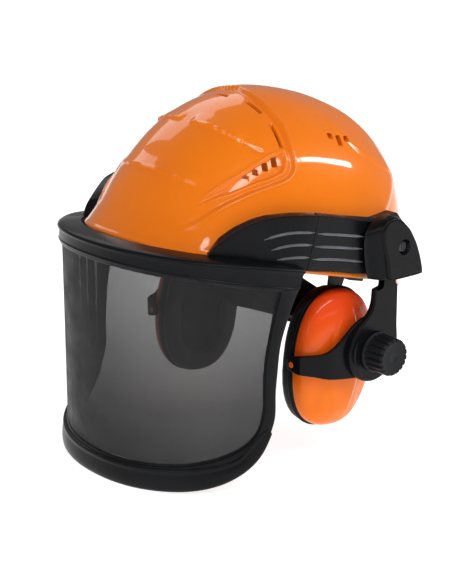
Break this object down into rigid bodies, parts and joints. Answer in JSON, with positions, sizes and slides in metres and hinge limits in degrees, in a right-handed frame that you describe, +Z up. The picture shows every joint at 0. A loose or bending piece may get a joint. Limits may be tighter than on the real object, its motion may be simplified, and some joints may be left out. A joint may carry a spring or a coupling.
{
  "type": "forestry helmet",
  "caption": "Ventilated safety helmet with a lift-up mesh face visor on side arms and swing-out ear muffs on adjustable yokes.",
  "frame": {"origin": "middle of the head opening, level with the side rim, where the head enters from below", "axes": "+X to the wearer's left, -Y to the front (face), +Z up through the crown"},
  "size_m": [0.298, 0.3135, 0.3077],
  "materials": {
    "shell_orange": "glossy high-visibility moulding",
    "cup_orange": "satin high-visibility moulding",
    "harness_black": "soft satin moulding",
    "harness_grey": "satin moulding",
    "pad_fabric": "knitted cover over foam",
    "webbing": "woven strap",
    "ratchet_black": "fine grain",
    "arm_black": "fine satin grain",
    "knob_black": "ribbed grip",
    "steel": "plated",
    "plate_black": "satin",
    "cushion_black": "soft vinyl skin over foam",
    "liner_foam": "open-cell foam",
    "visor_black": "satin moulding",
    "mesh_grey": "fine woven mesh"
  },
  "bodies": {
    "helmet": {"shell": "shell_orange", "headband": "harness_black", "sweatband": "pad_fabric", "crown_strap_long": "webbing", "crown_strap_cross": "webbing", "crown_pad": "pad_fabric", "strap_anchor_front": "harness_black", "strap_anchor_rear": "harness_black", "band_hanger_front": "harness_grey", "bracket_screws": "steel", "strap_anchor_left": "harness_black", "strap_anchor_right": "harness_black", "band_hanger_left": "harness_grey", "band_hanger_right": "harness_grey", "side_bracket_left": "arm_black", "side_bracket_right": "arm_black", "friction_washer_left": "steel", "friction_washer_right": "steel", "pivot_screw_left": "steel", "pivot_screw_right": "steel"},
    "nape": {"nape_strap": "harness_black", "nape_pad": "pad_fabric", "ratchet_housing": "ratchet_black"},
    "nape_knob": {"ratchet_knob": "ratchet_black"},
    "visor": {"visor_band": "visor_black", "visor_frame": "visor_black", "visor_mesh": "mesh_grey", "chin_guard": "visor_black", "visor_arm_rear_left": "arm_black", "visor_arm_rear_right": "arm_black", "visor_arm_front_left": "arm_black", "visor_arm_front_right": "arm_black"},
    "carrier_left": {"muff_carrier_left": "arm_black", "swing_pin_left": "steel"},
    "arm_left": {"muff_arm_left": "arm_black"},
    "stud_left": {"clamp_stud_left": "steel"},
    "yoke_left": {"yoke_left": "arm_black"},
    "knob_left": {"clamp_knob_left": "knob_black"},
    "cup_left": {"cup_shell_left": "cup_orange", "cup_back_plate_left": "plate_black", "ear_cushion_left": "cushion_black", "cup_liner_left": "liner_foam"},
    "carrier_right": {"muff_carrier_right": "arm_black", "swing_pin_right": "steel"},
    "arm_right": {"muff_arm_right": "arm_black"},
    "stud_right": {"clamp_stud_right": "steel"},
    "yoke_right": {"yoke_right": "arm_black"},
    "knob_right": {"clamp_knob_right": "knob_black"},
    "cup_right": {"cup_shell_right": "cup_orange", "cup_back_plate_right": "plate_black", "ear_cushion_right": "cushion_black", "cup_liner_right": "liner_foam"}
  },
  "joints": [
    {"name": "nape_slide", "type": "slide", "parent": "helmet", "child": "nape", "axis": [0, 0.9703, -0.2419], "range_m": [-0.009, 0.009]},
    {"name": "nape_knob_turn", "type": "hinge", "parent": "nape", "child": "nape_knob", "pos_m": [0, 0.10289, -0.08337], "axis": [0, 0.9703, -0.2419], "range_deg": [-90, 90]},
    {"name": "visor_lift", "type": "hinge", "parent": "helmet", "child": "visor", "pos_m": [0, 0.067, 0.0165], "axis": [-1, 0, 0], "range_deg": [0, 60]},
    {"name": "muff_park_left", "type": "hinge", "parent": "helmet", "child": "carrier_left", "pos_m": [0.124, 0.067, 0.0165], "axis": [1, 0, 0], "range_deg": [0, 30]},
    {"name": "muff_swing_left", "type": "hinge", "parent": "carrier_left", "child": "arm_left", "pos_m": [0.124, 0.057, -0.0065], "axis": [0, -1, 0], "range_deg": [0, 28], "stiffness_Nm_per_rad": 2, "springref_deg": -14.32},
    {"name": "cup_height_left", "type": "slide", "parent": "arm_left", "child": "stud_left", "axis": [0, 0, 1], "range_m": [-0.006, 0.006]},
    {"name": "yoke_turn_left", "type": "hinge", "parent": "stud_left", "child": "yoke_left", "pos_m": [0.118, 0.043, -0.071], "axis": [1, 0, 0], "range_deg": [-10, 10]},
    {"name": "clamp_knob_turn_left", "type": "hinge", "parent": "stud_left", "child": "knob_left", "pos_m": [0.138, 0.043, -0.071], "axis": [1, 0, 0], "continuous": true},
    {"name": "cup_tilt_left", "type": "hinge", "parent": "yoke_left", "child": "cup_left", "pos_m": [0.097, 0.022, -0.076], "axis": [0, 1, 0], "range_deg": [-2.5, 7]},
    {"name": "muff_park_right", "type": "hinge", "parent": "helmet", "child": "carrier_right", "pos_m": [-0.124, 0.067, 0.0165], "axis": [1, 0, 0], "range_deg": [0, 30]},
    {"name": "muff_swing_right", "type": "hinge", "parent": "carrier_right", "child": "arm_right", "pos_m": [-0.124, 0.057, -0.0065], "axis": [0, 1, 0], "range_deg": [0, 28], "stiffness_Nm_per_rad": 2, "springref_deg": -14.32},
    {"name": "cup_height_right", "type": "slide", "parent": "arm_right", "child": "stud_right", "axis": [0, 0, 1], "range_m": [-0.006, 0.006]},
    {"name": "yoke_turn_right", "type": "hinge", "parent": "stud_right", "child": "yoke_right", "pos_m": [-0.118, 0.043, -0.071], "axis": [1, 0, 0], "range_deg": [-10, 10]},
    {"name": "clamp_knob_turn_right", "type": "hinge", "parent": "stud_right", "child": "knob_right", "pos_m": [-0.138, 0.043, -0.071], "axis": [-1, 0, 0], "continuous": true},
    {"name": "cup_tilt_right", "type": "hinge", "parent": "yoke_right", "child": "cup_right", "pos_m": [-0.097, 0.022, -0.076], "axis": [0, -1, 0], "range_deg": [-2.5, 7]}
  ],
  "couplings": [
    {"joint": "nape_knob_turn", "follows": "nape_slide", "rad_per_m": -174.5}
  ]
}
